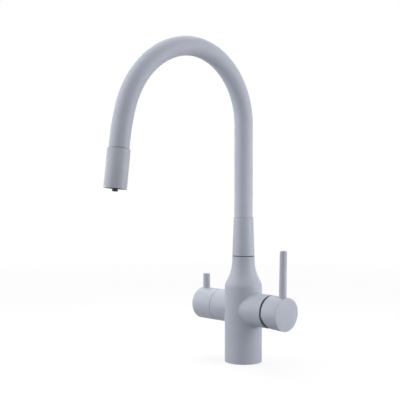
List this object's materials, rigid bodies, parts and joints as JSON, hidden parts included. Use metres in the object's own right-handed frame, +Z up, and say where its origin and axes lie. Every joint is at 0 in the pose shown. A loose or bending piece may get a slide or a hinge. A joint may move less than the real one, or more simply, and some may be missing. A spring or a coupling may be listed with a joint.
{
  "type": "kitchen mixer tap with flexible spout and filtered-water valve",
  "caption": "Kitchen mixer tap: upright body, side mixing handle, opposite filtered-water knob, swivelling flexible gooseneck spout and a two-way nozzle.",
  "frame": {"origin": "centre of the body's base on the worktop, at the mouth of the fixing stud's hole", "axes": "+Z up, -Y to the front where the spout reaches, +X to the side of the mixing handle"},
  "size_m": [0.1556, 0.2575, 0.4255],
  "materials": {
    "powder_coat": "matte silver-grey powder coat",
    "silicone": "matte grey silicone",
    "steel": "plain steel",
    "brass": "machined brass",
    "black_plastic": "matte black",
    "white_plastic": "natural acetal",
    "grey_plastic": "matte grey",
    "ceramic": "lapped alumina",
    "seal_rubber": "matte black",
    "hose_rubber": "smooth white",
    "filter_hose": "translucent blue"
  },
  "bodies": {
    "base": {"body_casting": "powder_coat", "base_seal": "seal_rubber", "spout_retainer": "white_plastic", "swivel_washer": "black_plastic", "cartridge_base": "grey_plastic", "cartridge_seals": "seal_rubber", "ceramic_fixed_disc": "ceramic", "cartridge_housing": "grey_plastic", "cartridge_nut": "brass", "cartridge_cover": "black_plastic", "filter_valve_housing": "brass", "filter_seat_seal": "seal_rubber", "filter_fixed_disc": "ceramic"},
    "spout_foot": {"spout_stem": "brass", "stem_rings": "seal_rubber", "spout_collar": "powder_coat", "lower_ferrule": "brass", "gooseneck_1": "steel", "silicone_sleeve": "silicone", "mixed_water_hose": "hose_rubber", "filtered_water_tube": "filter_hose"},
    "spout_length_2": {"gooseneck_2": "steel"},
    "spout_length_3": {"gooseneck_3": "steel"},
    "spout_length_4": {"gooseneck_4": "steel"},
    "spout_length_5": {"gooseneck_5": "steel"},
    "nozzle": {"gooseneck_6": "steel", "nozzle_housing": "powder_coat", "nozzle_adapter": "brass", "aerator_insert": "white_plastic", "aerator_seal": "seal_rubber", "filtered_outlet": "black_plastic"},
    "mixer_rotor": {"cartridge_rotor": "white_plastic", "stem_pivot_pin": "steel"},
    "mixing_disc": {"ceramic_moving_disc": "ceramic", "disc_carrier": "white_plastic"},
    "mixer_handle": {"handle_stem": "brass", "handle_cap": "powder_coat", "handle_lever": "powder_coat", "handle_grub_screw": "steel"},
    "filter_handle": {"filter_spindle": "brass", "filter_moving_disc": "ceramic", "spindle_ring": "seal_rubber", "spindle_clip": "steel", "filter_knob": "powder_coat", "filter_lever": "powder_coat", "filter_grub_screw": "steel"}
  },
  "joints": [
    {"name": "spout_swivel", "type": "hinge", "parent": "base", "child": "spout_foot", "pos_m": [0, 0, 0.1418], "axis": [0, 0, 1], "range_deg": [-180, 180]},
    {"name": "spout_bend_1", "type": "hinge", "parent": "spout_foot", "child": "spout_length_2", "pos_m": [0, 0, 0.23385], "axis": [1, 0, 0], "range_deg": [-8, 8], "deforming": ["silicone_sleeve", "mixed_water_hose", "filtered_water_tube"]},
    {"name": "spout_bend_2", "type": "hinge", "parent": "spout_length_2", "child": "spout_length_3", "pos_m": [0, -0.00098, 0.33109], "axis": [1, 0, 0], "range_deg": [-8, 8], "deforming": ["silicone_sleeve", "mixed_water_hose", "filtered_water_tube"]},
    {"name": "spout_bend_3", "type": "hinge", "parent": "spout_length_3", "child": "spout_length_4", "pos_m": [0, -0.05746, 0.40519], "axis": [1, 0, 0], "range_deg": [-8, 8], "deforming": ["silicone_sleeve", "mixed_water_hose", "filtered_water_tube"]},
    {"name": "spout_bend_4", "type": "hinge", "parent": "spout_length_4", "child": "spout_length_5", "pos_m": [0, -0.15078, 0.3975], "axis": [1, 0, 0], "range_deg": [-8, 8], "deforming": ["silicone_sleeve", "mixed_water_hose", "filtered_water_tube"]},
    {"name": "spout_bend_5", "type": "hinge", "parent": "spout_length_5", "child": "nozzle", "pos_m": [0, -0.2058, 0.32058], "axis": [1, 0, 0], "range_deg": [-8, 8], "deforming": ["silicone_sleeve", "mixed_water_hose", "filtered_water_tube"]},
    {"name": "mixer_temperature", "type": "hinge", "parent": "base", "child": "mixer_rotor", "pos_m": [0.05, 0, 0.0719], "axis": [1, 0, 0], "range_deg": [-45, 45]},
    {"name": "mixer_flow", "type": "hinge", "parent": "mixer_rotor", "child": "mixer_handle", "pos_m": [0.05, 0, 0.0719], "axis": [0, 1, 0], "range_deg": [0, 20]},
    {"name": "mixing_disc_slide", "type": "slide", "parent": "mixer_rotor", "child": "mixing_disc", "axis": [0, 0, 1], "range_m": [0, 0.00445]},
    {"name": "filter_knob_turn", "type": "hinge", "parent": "base", "child": "filter_handle", "pos_m": [-0.0433, 0, 0.0719], "axis": [1, 0, 0], "range_deg": [0, 90]}
  ],
  "couplings": [
    {"joint": "spout_bend_2", "follows": "spout_bend_1", "ratio": 1},
    {"joint": "spout_bend_3", "follows": "spout_bend_1", "ratio": 1},
    {"joint": "spout_bend_4", "follows": "spout_bend_1", "ratio": 1},
    {"joint": "spout_bend_5", "follows": "spout_bend_1", "ratio": 1},
    {"joint": "mixing_disc_slide", "follows": "mixer_flow", "m_per_rad": 0.0126}
  ]
}
